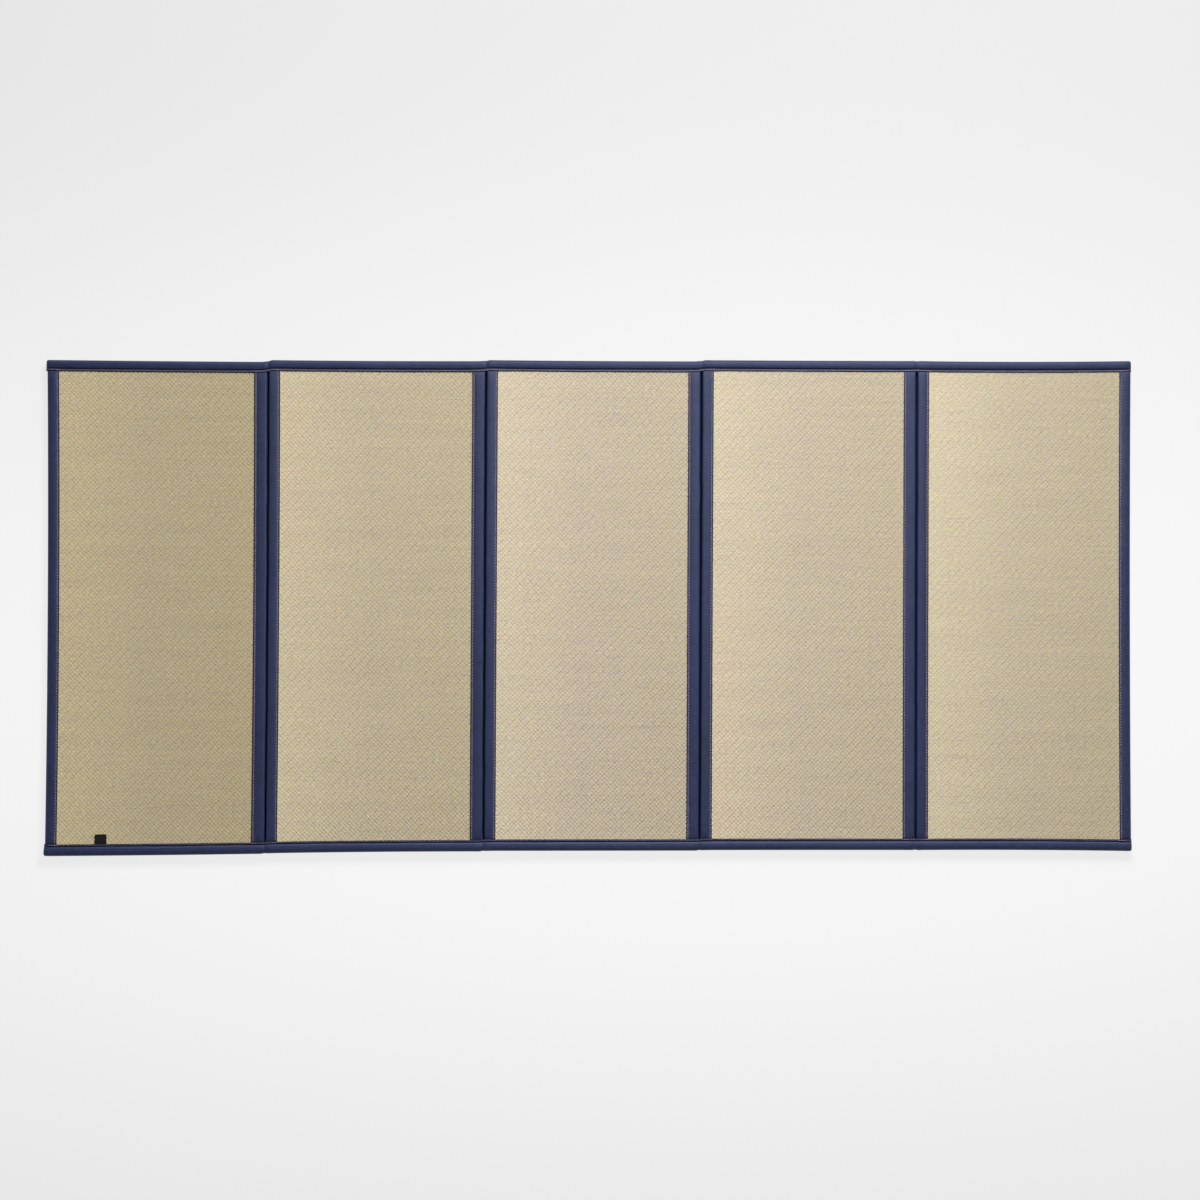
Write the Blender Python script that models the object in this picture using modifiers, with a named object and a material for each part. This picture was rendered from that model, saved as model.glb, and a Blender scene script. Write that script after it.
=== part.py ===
# Folding tatami mat, laid out flat: five rush-faced panels, cloth bindings and a label.
#
# The length runs along X, the width along Y, and Z points up. The origin is at the middle
# of the underside. The label is on the first panel, at the front edge.
#
# Every piece is first made on a true rectangle. The function lay_out then moves its points
# to where the cloth really lies, because no panel is quite square to the next.

import math

import bmesh
import bpy
from mathutils import Matrix

MM = 0.001

# Driving dimensions of the mat
PANEL_COUNT = 5
PANEL_PITCH = 400.0 * MM
MAT_LENGTH = PANEL_COUNT * PANEL_PITCH
MAT_WIDTH = 905.0 * MM
MAT_THICKNESS = 20.0 * MM
RUSH_HEIGHT = 17.5 * MM
CLOTH = 1.0 * MM
CLEARANCE = 0.3 * MM

# How far the bindings reach in over the rush, from the mat's edge or from the fold
LONG_BINDING_WIDTH = 20.3 * MM
END_BINDING_WIDTH = 22.2 * MM
FOLD_BINDING_WIDTH = {"left": 24.5 * MM, "right": 22.6 * MM}

# Long bindings: a roll at the edge, a ditch beside it and a stitched flange on the rush
ROLL_WIDTH = 15.3 * MM
ROLL_OUTER_RADIUS = 8.0 * MM
ROLL_INNER_RADIUS = 3.4 * MM
ROLL_INNER_START_DEGREES = 15
FLANGE_WIDTH = 3.4 * MM
FLANGE_HEIGHT = 18.2 * MM
DITCH_WIDTH = 0.9 * MM
DITCH_HEIGHT = 16.9 * MM
LONG_BINDING_OVERHANG = CLOTH + CLEARANCE
CORNER_RADIUS = 5.0 * MM

# End and fold bindings: a soft crown, with a row of stitches that presses it down
BAND_CROWN = 19.3 * MM
BAND_RADIUS = 6.5 * MM
BAND_EDGE_HEIGHT = 18.5 * MM
BAND_STITCH_HEIGHT = 17.9 * MM
STITCH_INSET = 4.0 * MM
STITCH_SLOPE = 4.5 * MM

# Where the end and fold bindings dip to run under the long ones, from the mat's edge
TUCK_END = 8.0 * MM
TUCK_LOW = 21.3 * MM
TUCK_HIGH = 26.5 * MM
TUCK_TOP = 15.5 * MM
TUCK_UNDERSIDE = 1.4 * MM

# A pad's upper and lower face under its bindings. Inset is from the fold or the end.
# Rows with a width are counted from the binding's inner edge instead.
# Columns: counted from that edge, inset, top, bottom
PAD_SIDE_ROWS = (
    (False, 1.8 * MM, 12.5 * MM, 7.5 * MM),
    (False, 3.5 * MM, 16.2 * MM, 4.0 * MM),
    (False, 8.0 * MM, 17.6 * MM, 1.6 * MM),
    (True, -STITCH_INSET, 16.4 * MM, 1.4 * MM),
    (True, 0.5 * MM, 17.1 * MM, 1.4 * MM),
    (True, 3.0 * MM, RUSH_HEIGHT, 0.0),
)

# The same along the long edges. Columns: inset from the mat's edge, top, bottom
PAD_LONG_ROWS = (
    (1.8 * MM, 12.0 * MM, 8.0 * MM),
    (4.0 * MM, 14.9 * MM, 4.6 * MM),
    (17.4 * MM, 15.4 * MM, 1.5 * MM),
    (22.5 * MM, 17.0 * MM, 1.4 * MM),
    (28.0 * MM, RUSH_HEIGHT, 0.0),
)

# Where a pad's corner lies under two bindings, and how far in that reaches
PAD_CORNER_TOP = 14.0 * MM
PAD_CORNER_BOTTOM = 2.8 * MM
PAD_CORNER_DEPTH = 23.0 * MM
PAD_CORNER_REACH = 1.0 * MM

# Label: a folded woven tab, its free end towards the middle of the panel
LABEL_WIDTH = 20.0 * MM
LABEL_LENGTH = 17.5 * MM
LABEL_THICKNESS = 1.0 * MM
LABEL_FROM_LEFT_END = 92.0 * MM
LABEL_ROUNDING = 0.3 * MM

# How far each panel's long edges lie off the true rectangle, in mm, positive to the back.
# Columns: back edge at the panel's left, middle and right, then the front edge likewise
PANEL_DRIFT = (
    (1.7, -0.2, -1.4, -3.1, -2.2, -0.3),
    (2.1, 0.7, 0.7, 0.5, 2.3, 2.4),
    (2.7, 1.3, 0.9, 3.5, 2.9, 2.4),
    (3.2, 2.5, 2.2, 3.3, 2.8, 2.0),
    (2.2, 1.1, 2.8, 1.9, 1.4, -1.5),
)

# How far the left end, the four folds and the right end lie off it, positive to the right.
# Columns: at the back edge, halfway, at the front edge
SEAM_DRIFT = (
    (0.3, 1.2, -3.5),
    (4.9, 3.1, -1.2),
    (5.6, 2.6, -0.2),
    (4.2, 1.3, -1.5),
    (4.1, 1.2, -0.9),
    (3.5, 0.6, 1.3),
)

# Half the length over which the long bindings step from one panel's line to the next
STEP_REACH = 11.0 * MM

# How finely the arcs, the corners and the long stretches are divided
ARC_STEPS = 3
CORNER_DEGREES = (0, 30, 60, 90)
STRETCH_PARTS = (0.25, 0.5, 0.75)
STEP_PARTS = (-1.0, -0.5, 0.0, 0.5, 1.0)


def clamp(value, low, high):
    return max(low, min(high, value))


def smooth_step(value):
    part = clamp(value, 0.0, 1.0)
    return part * part * (3.0 - 2.0 * part)


def seam_x(number):
    """The left end is seam 0, the folds are 1 to 4 and the right end is 5."""
    return number * PANEL_PITCH - MAT_LENGTH / 2.0


def curve_through(first, middle, last, part):
    """A parabola through three values, at part 0, a half and 1."""
    return (
        first * (1.0 - part) * (1.0 - 2.0 * part)
        + middle * 4.0 * part * (1.0 - part)
        + last * part * (2.0 * part - 1.0)
    )


def panel_drift(number, x, across):
    """How far a panel's cloth lies to the back at x; across runs from front, 0, to back, 1."""
    back_left, back_middle, back_right, front_left, front_middle, front_right = PANEL_DRIFT[number]
    along = (x + MAT_LENGTH / 2.0) / PANEL_PITCH - number
    back = curve_through(back_left, back_middle, back_right, along)
    front = curve_through(front_left, front_middle, front_right, along)
    return MM * (front + (back - front) * across)


def lay_out(x, y):
    """Where a point of the true rectangle really lies."""
    across = y / MAT_WIDTH + 0.5
    seams_passed = (x + MAT_LENGTH / 2.0) / PANEL_PITCH
    panel = int(clamp(math.floor(seams_passed), 0, PANEL_COUNT - 1))

    left = curve_through(*SEAM_DRIFT[panel], 1.0 - across)
    right = curve_through(*SEAM_DRIFT[panel + 1], 1.0 - across)
    shift_x = MM * (left + (right - left) * (seams_passed - panel))

    nearest_fold = int(clamp(round(seams_passed), 1, PANEL_COUNT - 1))
    past_fold = x - seam_x(nearest_fold)
    if abs(past_fold) < STEP_REACH:
        before = panel_drift(nearest_fold - 1, x, across)
        after = panel_drift(nearest_fold, x, across)
        share = smooth_step(past_fold / (2.0 * STEP_REACH) + 0.5)
        shift_y = before + (after - before) * share
    else:
        shift_y = panel_drift(panel, x, across)
    return x + shift_x, y + shift_y


def height_at(rows, inset, column):
    """Read a column of a table of rows at an inset, in a straight line between its rows."""
    if inset <= rows[0][0]:
        return rows[0][column]
    for row, following in zip(rows, rows[1:]):
        if inset <= following[0]:
            share = (inset - row[0]) / (following[0] - row[0])
            return row[column] + (following[column] - row[column]) * share
    return rows[-1][column]


def arc(centre, radius, first_degrees, last_degrees):
    """Points (inset, height) along an arc. 90 degrees is up and 180 is outwards."""
    points = []
    for step in range(ARC_STEPS + 1):
        degrees = first_degrees + (last_degrees - first_degrees) * step / ARC_STEPS
        angle = math.radians(degrees)
        inset = centre[0] + radius * math.cos(angle)
        height = centre[1] + radius * math.sin(angle)
        points.append((inset, height))
    return points


def long_section():
    """Outer face of a long binding, from its edge on the rush round to its edge below."""
    flange_end = LONG_BINDING_WIDTH - FLANGE_WIDTH
    section = [(LONG_BINDING_WIDTH, FLANGE_HEIGHT)]
    section.append((flange_end, FLANGE_HEIGHT))
    section.append((flange_end - DITCH_WIDTH, DITCH_HEIGHT))
    inner_centre = (ROLL_WIDTH - ROLL_INNER_RADIUS, MAT_THICKNESS - ROLL_INNER_RADIUS)
    upper_centre = (ROLL_OUTER_RADIUS, MAT_THICKNESS - ROLL_OUTER_RADIUS)
    lower_centre = (ROLL_OUTER_RADIUS, ROLL_OUTER_RADIUS)
    section += arc(inner_centre, ROLL_INNER_RADIUS, ROLL_INNER_START_DEGREES, 90)
    section += arc(upper_centre, ROLL_OUTER_RADIUS, 90, 180)
    section += arc(lower_centre, ROLL_OUTER_RADIUS, 180, 270)
    section.append((LONG_BINDING_WIDTH, 0.0))
    return section


def band_section(width):
    """Outer face of an end or fold binding, from its edge on the rush round to its edge below."""
    stitch = width - STITCH_INSET
    section = [(width, BAND_EDGE_HEIGHT)]
    section.append((stitch, BAND_STITCH_HEIGHT))
    section.append((stitch - STITCH_SLOPE, BAND_CROWN - CLEARANCE))
    section += arc((BAND_RADIUS, BAND_CROWN - BAND_RADIUS), BAND_RADIUS, 90, 180)
    section += arc((BAND_RADIUS, BAND_RADIUS), BAND_RADIUS, 180, 270)
    section.append((width, 0.0))
    return section


def long_binding_stations():
    """Places along a long binding: (x, how far the corner's rounding draws it in)."""
    end = MAT_LENGTH / 2.0 + LONG_BINDING_OVERHANG
    stations = []
    for degrees in CORNER_DEGREES:
        from_end = CORNER_RADIUS * (1.0 - math.cos(math.radians(degrees)))
        drawn_in = CORNER_RADIUS * (1.0 - math.sin(math.radians(degrees)))
        stations.append((from_end - end, drawn_in))
        stations.append((end - from_end, drawn_in))
    for panel in range(PANEL_COUNT):
        for part in STRETCH_PARTS:
            stations.append((seam_x(panel) + part * PANEL_PITCH, 0.0))
    for fold in range(1, PANEL_COUNT):
        for part in STEP_PARTS:
            stations.append((seam_x(fold) + part * STEP_REACH, 0.0))
    return sorted(stations)


def band_stations():
    """Places along an end or fold binding, counted from the middle of the mat's width."""
    half = MAT_WIDTH / 2.0
    stations = [MAT_WIDTH * (part - 0.5) for part in STRETCH_PARTS]
    for inset in (TUCK_END, TUCK_LOW, TUCK_HIGH):
        stations.append(half - inset)
        stations.append(inset - half)
    return sorted(stations)


def tucked(height, edge_distance):
    """Press a fold binding's height down, or up from below, where it runs under a long one."""
    share = (edge_distance - TUCK_LOW) / (TUCK_HIGH - TUCK_LOW)
    share = clamp(share, 0.0, 1.0)
    top = TUCK_TOP + (MAT_THICKNESS - TUCK_TOP) * share
    bottom = TUCK_UNDERSIDE * (1.0 - share)
    return clamp(height, bottom, top)


def sweep(bm, rows):
    """An open cloth face: the first row's points joined by edges, then extruded row by row.
    Returns the verts of the first and of the last row."""
    verts = [bm.verts.new(point) for point in rows[0]]
    first_verts = verts
    edges = [bm.edges.new(pair) for pair in zip(verts, verts[1:])]
    for row in rows[1:]:
        place = {tuple(vert.co): index for index, vert in enumerate(verts)}
        made = bmesh.ops.extrude_edge_only(bm, edges=edges)["geom"]
        verts = [item for item in made if isinstance(item, bmesh.types.BMVert)]
        verts.sort(key=lambda vert: place[tuple(vert.co)])
        edges = [bm.edges.get(pair) for pair in zip(verts, verts[1:])]
        for vert, point in zip(verts, row):
            vert.co = point
    return first_verts, verts


def close_end(bm, verts):
    """Fill the end of a long binding, where its cloth is folded in."""
    edges = [bm.edges.get(pair) for pair in zip(verts, verts[1:])]
    edges.append(bm.edges.new((verts[-1], verts[0])))
    bmesh.ops.edgeloop_fill(bm, edges=edges)


def make_material(name, colour, roughness):
    material = bpy.data.materials.new(name)
    material.use_nodes = True
    shader = material.node_tree.nodes["Principled BSDF"]
    shader.inputs["Base Color"].default_value = (*colour, 1.0)
    shader.inputs["Roughness"].default_value = roughness
    shader.inputs["Metallic"].default_value = 0.0
    return material


def rush_material():
    return make_material("woven_rush", (0.53, 0.46, 0.33), 0.6)


def binding_material():
    return make_material("navy_binding_cotton", (0.045, 0.055, 0.11), 0.9)


def label_material():
    return make_material("black_label_ribbon", (0.006, 0.006, 0.008), 0.7)


def lay_mesh(mesh, centre):
    """Move a mesh's points to where they really lie, seen from the object's own origin."""
    for vert in mesh.vertices:
        x, y = lay_out(vert.co.x, vert.co.y)
        vert.co.x = x
        vert.co.y = y
    mesh.transform(Matrix.Translation((-centre[0], -centre[1], -centre[2])))


def add_piece(name, mesh, centre, material, collection, frame):
    """Make a named object of a finished mesh, placed by its location under the mat's frame."""
    lay_mesh(mesh, centre)
    mesh.name = name
    mesh.materials.clear()
    mesh.materials.append(material)
    piece = bpy.data.objects.new(name, mesh)
    collection.objects.link(piece)
    piece.parent = frame
    piece.location = centre
    return piece


def cloth_mesh(bm, collection):
    """Give an open cloth face its thickness, inwards, and return the closed mesh."""
    bmesh.ops.recalc_face_normals(bm, faces=bm.faces[:])
    crown = max(bm.faces, key=lambda face: face.calc_center_median().z)
    if crown.normal.z < 0.0:
        bmesh.ops.reverse_faces(bm, faces=bm.faces[:])
    mesh = bpy.data.meshes.new("open_cloth")
    bm.to_mesh(mesh)
    bm.free()
    source = bpy.data.objects.new("open_cloth", mesh)
    collection.objects.link(source)
    thickness = source.modifiers.new("cloth thickness", "SOLIDIFY")
    thickness.thickness = CLOTH
    thickness.offset = -1.0
    thickness.use_even_offset = True
    evaluated = source.evaluated_get(bpy.context.evaluated_depsgraph_get())
    closed = bpy.data.meshes.new_from_object(evaluated)
    bpy.data.objects.remove(source)
    bpy.data.meshes.remove(mesh)
    return closed


def make_long_binding(name, side, material, collection, frame):
    """A long binding; side is 1 for the back edge and -1 for the front edge."""
    section = long_section()
    rows = []
    for x, drawn_in in long_binding_stations():
        row = []
        for inset, height in section:
            from_edge = max(inset, drawn_in)
            row.append((x, side * (MAT_WIDTH / 2.0 - from_edge), height))
        rows.append(row)
    bm = bmesh.new()
    for end_verts in sweep(bm, rows):
        close_end(bm, end_verts)
    mesh = cloth_mesh(bm, collection)
    return add_piece(name, mesh, (0.0, side * MAT_WIDTH / 2.0, 0.0), material, collection, frame)


def make_band(name, seam, side, width, material, collection, frame):
    """An end or fold binding; side is 1 where its panel is to the right of the seam."""
    gap = CLEARANCE / 2.0 if 0 < seam < PANEL_COUNT else 0.0
    rows = []
    for y in band_stations():
        edge_distance = MAT_WIDTH / 2.0 - abs(y)
        row = []
        for inset, height in band_section(width):
            row.append((seam_x(seam) + side * (inset + gap), y, tucked(height, edge_distance)))
        rows.append(row)
    bm = bmesh.new()
    sweep(bm, rows)
    mesh = cloth_mesh(bm, collection)
    return add_piece(name, mesh, (seam_x(seam), 0.0, 0.0), material, collection, frame)


def pad_side_table(width):
    """The pad's side rows for a binding of this width: (inset, top, bottom)."""
    table = []
    for from_binding_edge, inset, top, bottom in PAD_SIDE_ROWS:
        table.append((inset + width if from_binding_edge else inset, top, bottom))
    return table


def pad_heights(side_table, side_inset, long_inset):
    """A pad's top and bottom at one point, from its distances to the seam and the long edge."""
    top = min(height_at(side_table, side_inset, 1), height_at(PAD_LONG_ROWS, long_inset, 1))
    bottom = max(height_at(side_table, side_inset, 2), height_at(PAD_LONG_ROWS, long_inset, 2))
    under_band = side_inset < side_table[-1][0] - PAD_CORNER_REACH
    if under_band and long_inset < PAD_CORNER_DEPTH:
        top = min(top, PAD_CORNER_TOP)
        bottom = max(bottom, PAD_CORNER_BOTTOM)
    return top, bottom


def cut_across(bm, place, direction):
    geometry = bm.verts[:] + bm.edges[:] + bm.faces[:]
    bmesh.ops.bisect_plane(bm, geom=geometry, plane_co=place, plane_no=direction)


def make_panel(number, left_width, right_width, material, collection, frame):
    """A panel: one filled pad, pressed thin under its bindings, with a flat underside."""
    left_table = pad_side_table(left_width)
    right_table = pad_side_table(right_width)
    left_seam = seam_x(number)
    right_seam = seam_x(number + 1)
    low = (left_seam + left_table[0][0], PAD_LONG_ROWS[0][0] - MAT_WIDTH / 2.0)
    high = (right_seam - right_table[0][0], MAT_WIDTH / 2.0 - PAD_LONG_ROWS[0][0])

    bm = bmesh.new()
    bmesh.ops.create_cube(bm, size=1.0)
    bmesh.ops.scale(bm, verts=bm.verts[:], vec=(high[0] - low[0], high[1] - low[1], RUSH_HEIGHT))
    middle = ((low[0] + high[0]) / 2.0, (low[1] + high[1]) / 2.0, RUSH_HEIGHT / 2.0)
    bmesh.ops.translate(bm, verts=bm.verts[:], vec=middle)

    for inset, _, _ in left_table[1:]:
        cut_across(bm, (left_seam + inset, 0.0, 0.0), (1.0, 0.0, 0.0))
    for inset, _, _ in right_table[1:]:
        cut_across(bm, (right_seam - inset, 0.0, 0.0), (1.0, 0.0, 0.0))
    cut_across(bm, ((left_seam + right_seam) / 2.0, 0.0, 0.0), (1.0, 0.0, 0.0))
    for inset, _, _ in PAD_LONG_ROWS[1:]:
        cut_across(bm, (0.0, MAT_WIDTH / 2.0 - inset, 0.0), (0.0, 1.0, 0.0))
        cut_across(bm, (0.0, inset - MAT_WIDTH / 2.0, 0.0), (0.0, 1.0, 0.0))
    for part in STRETCH_PARTS:
        cut_across(bm, (0.0, (part - 0.5) * MAT_WIDTH, 0.0), (0.0, 1.0, 0.0))

    for vert in bm.verts:
        to_left = vert.co.x - left_seam
        to_right = right_seam - vert.co.x
        long_inset = MAT_WIDTH / 2.0 - abs(vert.co.y)
        if to_left < to_right:
            top, bottom = pad_heights(left_table, to_left, long_inset)
        else:
            top, bottom = pad_heights(right_table, to_right, long_inset)
        vert.co.z = top if vert.co.z > RUSH_HEIGHT / 2.0 else bottom

    mesh = bpy.data.meshes.new("pad")
    bm.to_mesh(mesh)
    bm.free()
    centre = ((left_seam + right_seam) / 2.0, 0.0, 0.0)
    return add_piece(f"panel_{number + 1}", mesh, centre, material, collection, frame)


def make_label(material, collection, frame):
    """The label lies on the rush, with its sewn end at the front binding's flange."""
    bm = bmesh.new()
    bmesh.ops.create_cube(bm, size=1.0)
    bmesh.ops.scale(bm, verts=bm.verts[:], vec=(LABEL_WIDTH, LABEL_LENGTH, LABEL_THICKNESS))
    centre_x = LABEL_FROM_LEFT_END + LABEL_WIDTH / 2.0 - MAT_LENGTH / 2.0
    centre_y = LONG_BINDING_WIDTH + CLEARANCE + LABEL_LENGTH / 2.0 - MAT_WIDTH / 2.0
    centre_z = RUSH_HEIGHT + CLEARANCE + LABEL_THICKNESS / 2.0
    centre = (centre_x, centre_y, centre_z)
    bmesh.ops.translate(bm, verts=bm.verts[:], vec=centre)
    mesh = bpy.data.meshes.new("label")
    bm.to_mesh(mesh)
    bm.free()
    label = add_piece("label", mesh, centre, material, collection, frame)
    rounding = label.modifiers.new("folded edges", "BEVEL")
    rounding.width = LABEL_ROUNDING
    rounding.segments = 1
    return label


def binding_width(seam, side):
    """Width of the end or fold binding on one side of a seam."""
    if seam in (0, PANEL_COUNT):
        return END_BINDING_WIDTH
    return FOLD_BINDING_WIDTH["right" if side > 0 else "left"]


def build_mat():
    for old in list(bpy.data.objects):
        bpy.data.objects.remove(old)

    collection = bpy.data.collections.new("folding tatami mat")
    bpy.context.scene.collection.children.link(collection)
    frame = bpy.data.objects.new("mat_frame", None)
    collection.objects.link(frame)

    rush = rush_material()
    navy = binding_material()
    black = label_material()

    for number in range(PANEL_COUNT):
        left_width = binding_width(number, 1)
        right_width = binding_width(number + 1, -1)
        make_panel(number, left_width, right_width, rush, collection, frame)

    make_long_binding("binding_back", 1, navy, collection, frame)
    make_long_binding("binding_front", -1, navy, collection, frame)
    make_band("binding_end_left", 0, 1, END_BINDING_WIDTH, navy, collection, frame)
    make_band("binding_end_right", PANEL_COUNT, -1, END_BINDING_WIDTH, navy, collection, frame)
    for fold in range(1, PANEL_COUNT):
        for name, side in (("left", -1), ("right", 1)):
            width = binding_width(fold, side)
            make_band(f"binding_fold_{fold}_{name}", fold, side, width, navy, collection, frame)

    make_label(black, collection, frame)


build_mat()
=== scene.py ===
# Folding tatami mat, laid out flat: woven rush panels, cotton bindings, stitching and a label.
#
# The file is laid out as a Blender add-on and is run as a script. Each operator makes one
# piece or one group of like pieces. Lengths are in metres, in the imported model's own frame:
# X runs along the mat, Y across it and Z up.
#
# As in the part's source, a piece is first made on a true rectangle. The function lay_out
# then moves its points to where the cloth really lies.

import math

import bmesh
import bpy
from mathutils import Euler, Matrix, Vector, noise


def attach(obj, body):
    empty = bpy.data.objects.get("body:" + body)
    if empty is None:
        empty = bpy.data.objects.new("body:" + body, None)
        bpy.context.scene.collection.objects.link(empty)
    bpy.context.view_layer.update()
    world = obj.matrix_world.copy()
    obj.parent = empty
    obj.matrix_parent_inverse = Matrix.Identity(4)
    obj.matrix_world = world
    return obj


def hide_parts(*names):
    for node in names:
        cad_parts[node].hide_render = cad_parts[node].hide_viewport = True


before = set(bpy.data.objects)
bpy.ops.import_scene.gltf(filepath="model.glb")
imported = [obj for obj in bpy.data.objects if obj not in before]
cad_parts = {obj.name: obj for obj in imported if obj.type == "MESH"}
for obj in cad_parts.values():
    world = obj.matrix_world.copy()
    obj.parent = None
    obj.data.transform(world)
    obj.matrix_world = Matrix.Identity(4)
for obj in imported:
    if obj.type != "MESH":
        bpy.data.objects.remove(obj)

bl_info = {
    "name": "Folding tatami mat",
    "version": (1, 0, 0),
    "blender": (4, 5, 0),
    "location": "3D View > Sidebar > Tatami",
    "description": "Builds a folding mat of five rush panels with cotton bindings",
    "category": "Object",
}

MM = 0.001
BODY = "root"

# The mat, as in the part's source
PANEL_COUNT = 5
PANEL_PITCH = 400.0 * MM
MAT_LENGTH = PANEL_COUNT * PANEL_PITCH
MAT_WIDTH = 905.0 * MM
RUSH_HEIGHT = 17.5 * MM
CLOTH = 1.0 * MM
LONG_BINDING_WIDTH = 20.3 * MM
END_BINDING_WIDTH = 22.2 * MM
FOLD_BINDING_WIDTH = {"left": 24.5 * MM, "right": 22.6 * MM}
LONG_BINDING_OVERHANG = 1.3 * MM
CORNER_RADIUS = 5.0 * MM

# Here the woven face has real relief about a mean height, and a fold's two cloths all but touch
WEAVE_MEAN_HEIGHT = 16.8 * MM
FOLD_GAP = 0.01 * MM

# Distance between a binding's rows of points on its straight runs
BINDING_ROW_SPACING = 13.0 * MM

# Where the end and fold bindings dip to run under the long ones, from the mat's edge
TUCK_END = 15.0 * MM
TUCK_LOW = 21.3 * MM
TUCK_HIGH = 26.5 * MM
TUCK_UNDERSIDE = 1.4 * MM
BINDING_CROWN = 20.0 * MM

# Top of a tucked binding. Columns: inset from the mat's edge, height
TUCK_TOPS = (
    (15.0 * MM, 14.8 * MM),
    (17.0 * MM, 15.6 * MM),
    (18.8 * MM, 17.2 * MM),
    (20.6 * MM, 17.9 * MM),
    (23.0 * MM, 18.6 * MM),
    (26.5 * MM, 20.0 * MM),
)

# A long binding's flange is raised where it lies over the short bindings
FLANGE_LIFT = 0.9 * MM
FLANGE_LIFT_REACH = 4.0 * MM

# How far each panel's long edges lie off the true rectangle, in mm, positive to the back.
# Columns: back edge at the panel's left, middle and right, then the front edge likewise
PANEL_DRIFT = (
    (1.7, -0.2, -1.4, -3.1, -2.2, -0.3),
    (2.1, 0.7, 0.7, 0.5, 2.3, 2.4),
    (2.7, 1.3, 0.9, 3.5, 2.9, 2.4),
    (3.2, 2.5, 2.2, 3.3, 2.8, 2.0),
    (2.2, 1.1, 2.8, 1.9, 1.4, -1.5),
)

# How far the left end, the four folds and the right end lie off it, positive to the right.
# Columns: at the back edge, halfway, at the front edge
SEAM_DRIFT = (
    (0.3, 1.2, -3.5),
    (4.9, 3.1, -1.2),
    (5.6, 2.6, -0.2),
    (4.2, 1.3, -1.5),
    (4.1, 1.2, -0.9),
    (3.5, 0.6, 1.3),
)

# Half the length over which a long edge steps from one panel's line to the next
STEP_REACH = 11.0 * MM

# How far a fold's groove bends to the right at its very end, in mm: back end, front end
GROOVE_BEND = {1: (1.6, 0.0), 2: (0.0, 3.6), 3: (0.8, -0.8), 4: (-0.8, 0.8)}
GROOVE_BEND_REACH = 30.0 * MM

# Rings that carry a pad's woven face down its sides and flat over its underside.
# Columns: inset from the fold or end, inset from the long edge, height.
# A ring marked True counts its first inset from the binding's inner edge.
PAD_RINGS = (
    (True, -3.0 * MM, 17.4 * MM, 14.3 * MM),
    (False, 3.5 * MM, 4.0 * MM, 13.4 * MM),
    (False, 1.8 * MM, 1.8 * MM, 12.0 * MM),
    (False, 1.8 * MM, 1.8 * MM, 8.0 * MM),
    (False, 8.0 * MM, 8.0 * MM, 1.7 * MM),
    (True, 0.5 * MM, 22.5 * MM, 1.4 * MM),
    (True, 3.0 * MM, 28.0 * MM, 0.0),
)
RING_KEEPS_EVERY = 8
SAME_PLACE = 0.001 * MM

# The woven face runs on a little under the bindings, and is pressed down there
FACE_HIDDEN = 1.6 * MM
FACE_PRESS_REACH = 4.5 * MM
FACE_PRESSED = 16.9 * MM

# The weave: share of a float's rise by which every second dip is deeper, share of it by which
# the line between two rows lies lower, and height of the face's soft rises
DEEP_DIPS = 0.10
BETWEEN_ROWS = 0.30
FACE_UNEVENNESS = 0.5 * MM

# How a long binding's roll behaves where it crosses a fold
PUCKER_DEPTH = 1.3 * MM
PUCKER_HALF_WIDTH = 3.0 * MM
PUCKER_OFF_FOLD = 0.8 * MM
PUCKER_RISE = 0.35 * MM
PUCKER_RISE_AT = 8.0 * MM
PUCKER_RISE_HALF_WIDTH = 4.0 * MM

# Unevenness along the bindings: the rolls, the long ones' width, and the grooves of the folds.
# Columns: amount, length over which it varies, own number of the noise
LONG_FULLNESS = ((0.22 * MM, 45.0 * MM, 3.0), (0.15 * MM, 14.0 * MM, 5.0))
LONG_WIDTH_CHANGE = ((0.35 * MM, 70.0 * MM, 8.0),)
SHORT_FULLNESS = ((0.25 * MM, 50.0 * MM, 0.0), (0.15 * MM, 16.0 * MM, 0.5))
GROOVE_SWAY = ((0.5 * MM, 35.0 * MM, 20.0), (0.4 * MM, 12.0 * MM, 30.0))

# Rows of points on a long binding near a fold, in mm from it
FOLD_ROWS = (-12.0, -8.0, -5.0, -2.5, 0.0, 2.5, 5.0, 8.0, 12.0)

# A long binding's rounded ends
HALF_THICKNESS = 10.0 * MM
END_ROLL_RADIUS = 7.0 * MM
END_BULGE_REACH = 9.0 * MM

# How far a long binding's end stands out past the mat's own end, in mm: at the roll and at
# the flange. A key is 1 for the back or -1 for the front, then -1 for the left or 1 for the right
END_STANDS_OUT = {
    (1, -1): (1.7, 2.4),
    (1, 1): (0.7, 1.0),
    (-1, -1): (2.6, 1.6),
    (-1, 1): (1.2, 0.9),
}

# The front roll is fuller than the back one. A ditch parts each roll from its flange
FRONT_FULLNESS = 1.5 * MM
DITCH_INSET = 15.5 * MM
CROWN_LOW = 12.0 * MM

# Stitches: heights of their rows, how far in from the mat's or the binding's edge they run,
# how far from its ends they stop, and the spacing of the points that a row runs through
LONG_STITCH_HEIGHT = 17.95 * MM
SHORT_STITCH_HEIGHT = 17.85 * MM
LONG_STITCH_INSET = 18.6 * MM
SHORT_STITCH_INSET = 3.1 * MM
LONG_STITCH_END = 8.0 * MM
SHORT_STITCH_END = TUCK_HIGH - 1.5 * MM
LONG_STITCH_STEP = 10.0 * MM
SHORT_STITCH_STEP = 20.0 * MM
STITCH_SEED = 11

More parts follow.
